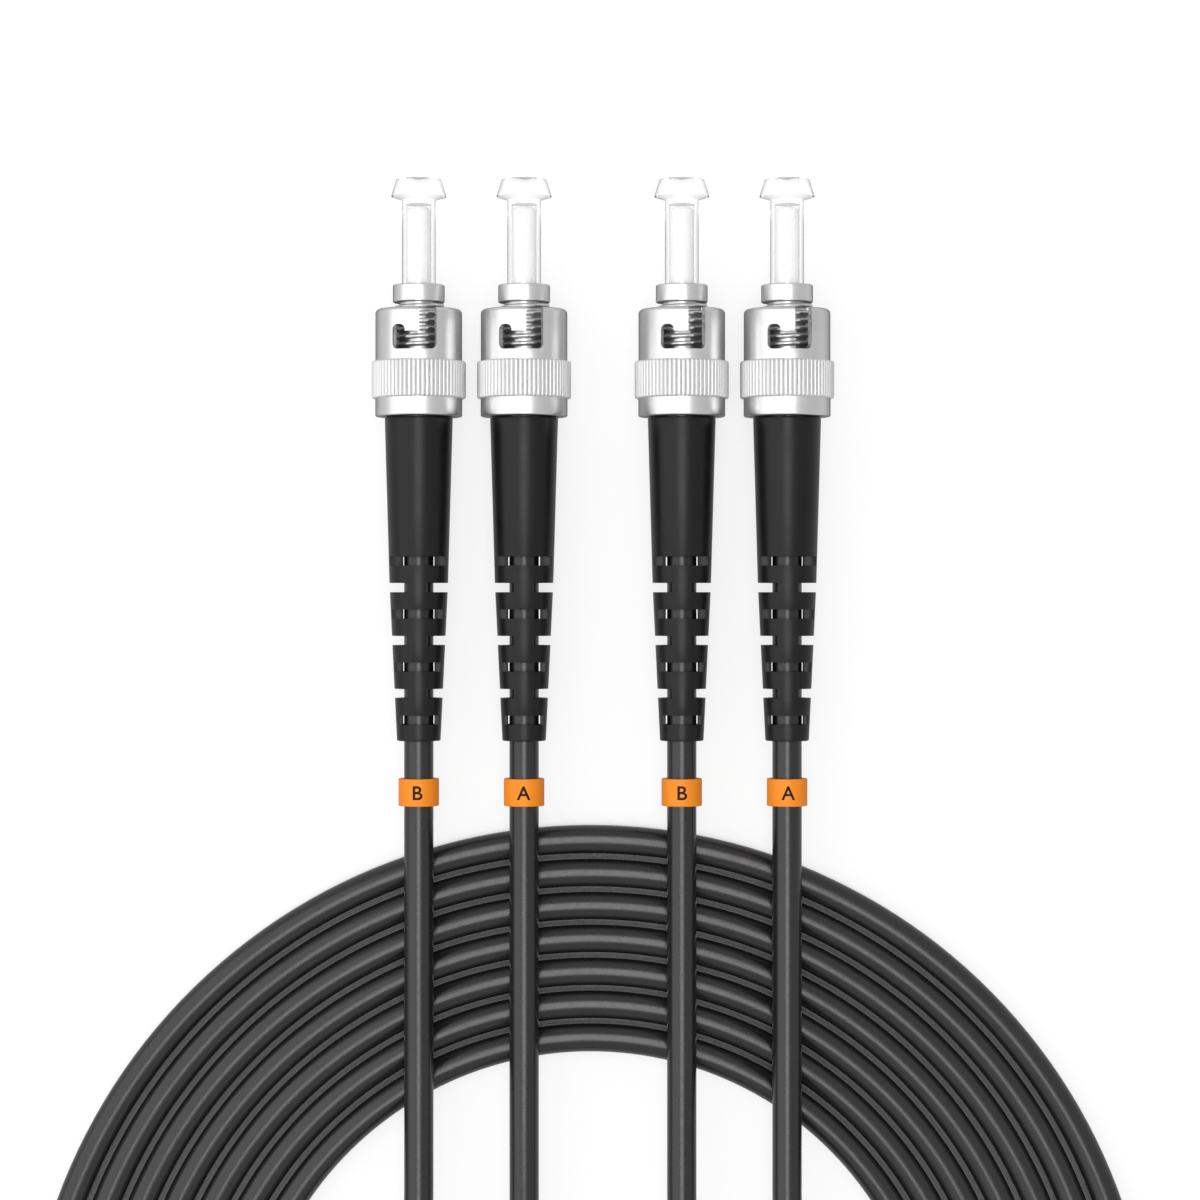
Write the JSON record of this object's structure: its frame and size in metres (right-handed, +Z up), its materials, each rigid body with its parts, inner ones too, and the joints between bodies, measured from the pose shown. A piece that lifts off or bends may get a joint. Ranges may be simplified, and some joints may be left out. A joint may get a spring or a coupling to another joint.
{
  "type": "armoured fibre patch cord",
  "caption": "Coiled duplex armoured fibre patch cord with bayonet connectors: knurled spring-loaded nuts, slotted boots, ceramic ferrules and clear dust caps.",
  "frame": {"origin": "on the bench, under the middle of the box around the four connectors", "axes": "+Y along the connectors towards the ferrule tips, +X to the right seen from above, +Z up"},
  "size_m": [0.1186, 0.1848, 0.0096],
  "materials": {
    "clear_cap": "clear",
    "white_ceramic": "polished",
    "plated_metal": "satin nickel plate",
    "spring_steel": "bright",
    "black_boot": "semi-gloss",
    "orange_marker": "smooth",
    "black_jacket": "gloss"
  },
  "bodies": {
    "cords": {"cord_coil": "black_jacket", "left_b_ferrule": "white_ceramic", "left_b_ferrule_holder": "plated_metal", "left_b_spring": "spring_steel", "left_b_retaining_ring": "spring_steel", "left_b_crimp_sleeve": "plated_metal", "left_b_boot": "black_boot", "left_b_marker_sleeve": "orange_marker", "left_b_cord": "black_jacket", "left_a_ferrule": "white_ceramic", "left_a_ferrule_holder": "plated_metal", "left_a_spring": "spring_steel", "left_a_retaining_ring": "spring_steel", "left_a_crimp_sleeve": "plated_metal", "left_a_boot": "black_boot", "left_a_marker_sleeve": "orange_marker", "left_a_cord": "black_jacket", "right_b_ferrule": "white_ceramic", "right_b_ferrule_holder": "plated_metal", "right_b_spring": "spring_steel", "right_b_retaining_ring": "spring_steel", "right_b_crimp_sleeve": "plated_metal", "right_b_boot": "black_boot", "right_b_marker_sleeve": "orange_marker", "right_b_cord": "black_jacket", "right_a_ferrule": "white_ceramic", "right_a_ferrule_holder": "plated_metal", "right_a_spring": "spring_steel", "right_a_retaining_ring": "spring_steel", "right_a_crimp_sleeve": "plated_metal", "right_a_boot": "black_boot", "right_a_marker_sleeve": "orange_marker", "right_a_cord": "black_jacket"},
    "left_b_slider": {"left_b_thrust_washer": "plated_metal"},
    "left_b_nut": {"left_b_coupling_nut": "plated_metal"},
    "left_b_cap": {"left_b_dust_cap": "clear_cap"},
    "left_a_slider": {"left_a_thrust_washer": "plated_metal"},
    "left_a_nut": {"left_a_coupling_nut": "plated_metal"},
    "left_a_cap": {"left_a_dust_cap": "clear_cap"},
    "right_b_slider": {"right_b_thrust_washer": "plated_metal"},
    "right_b_nut": {"right_b_coupling_nut": "plated_metal"},
    "right_b_cap": {"right_b_dust_cap": "clear_cap"},
    "right_a_slider": {"right_a_thrust_washer": "plated_metal"},
    "right_a_nut": {"right_a_coupling_nut": "plated_metal"},
    "right_a_cap": {"right_a_dust_cap": "clear_cap"}
  },
  "joints": [
    {"name": "left_b_nut_push", "type": "slide", "parent": "cords", "child": "left_b_slider", "axis": [0, 1, 0], "range_m": [0, 0.002], "stiffness_N_per_m": 600, "springref_m": -0.001, "deforming": ["left_b_spring"]},
    {"name": "left_b_nut_turn", "type": "hinge", "parent": "left_b_slider", "child": "left_b_nut", "pos_m": [-0.01883, -0.02867, 0.00481], "axis": [0, 1, 0], "continuous": true},
    {"name": "left_b_cap_pull", "type": "slide", "parent": "cords", "child": "left_b_cap", "axis": [0, 1, 0], "range_m": [0, 0.012]},
    {"name": "left_a_nut_push", "type": "slide", "parent": "cords", "child": "left_a_slider", "axis": [0, 1, 0], "range_m": [0, 0.002], "stiffness_N_per_m": 600, "springref_m": -0.001, "deforming": ["left_a_spring"]},
    {"name": "left_a_nut_turn", "type": "hinge", "parent": "left_a_slider", "child": "left_a_nut", "pos_m": [-0.00806, -0.02867, 0.00481], "axis": [0, 1, 0], "continuous": true},
    {"name": "left_a_cap_pull", "type": "slide", "parent": "cords", "child": "left_a_cap", "axis": [0, 1, 0], "range_m": [0, 0.012]},
    {"name": "right_b_nut_push", "type": "slide", "parent": "cords", "child": "right_b_slider", "axis": [0, 1, 0], "range_m": [0, 0.002], "stiffness_N_per_m": 600, "springref_m": -0.001, "deforming": ["right_b_spring"]},
    {"name": "right_b_nut_turn", "type": "hinge", "parent": "right_b_slider", "child": "right_b_nut", "pos_m": [0.00806, -0.02867, 0.00481], "axis": [0, 1, 0], "continuous": true},
    {"name": "right_b_cap_pull", "type": "slide", "parent": "cords", "child": "right_b_cap", "axis": [0, 1, 0], "range_m": [0, 0.012]},
    {"name": "right_a_nut_push", "type": "slide", "parent": "cords", "child": "right_a_slider", "axis": [0, 1, 0], "range_m": [0, 0.002], "stiffness_N_per_m": 600, "springref_m": -0.001, "deforming": ["right_a_spring"]},
    {"name": "right_a_nut_turn", "type": "hinge", "parent": "right_a_slider", "child": "right_a_nut", "pos_m": [0.01883, -0.02867, 0.00481], "axis": [0, 1, 0], "continuous": true},
    {"name": "right_a_cap_pull", "type": "slide", "parent": "cords", "child": "right_a_cap", "axis": [0, 1, 0], "range_m": [0, 0.012]}
  ]
}
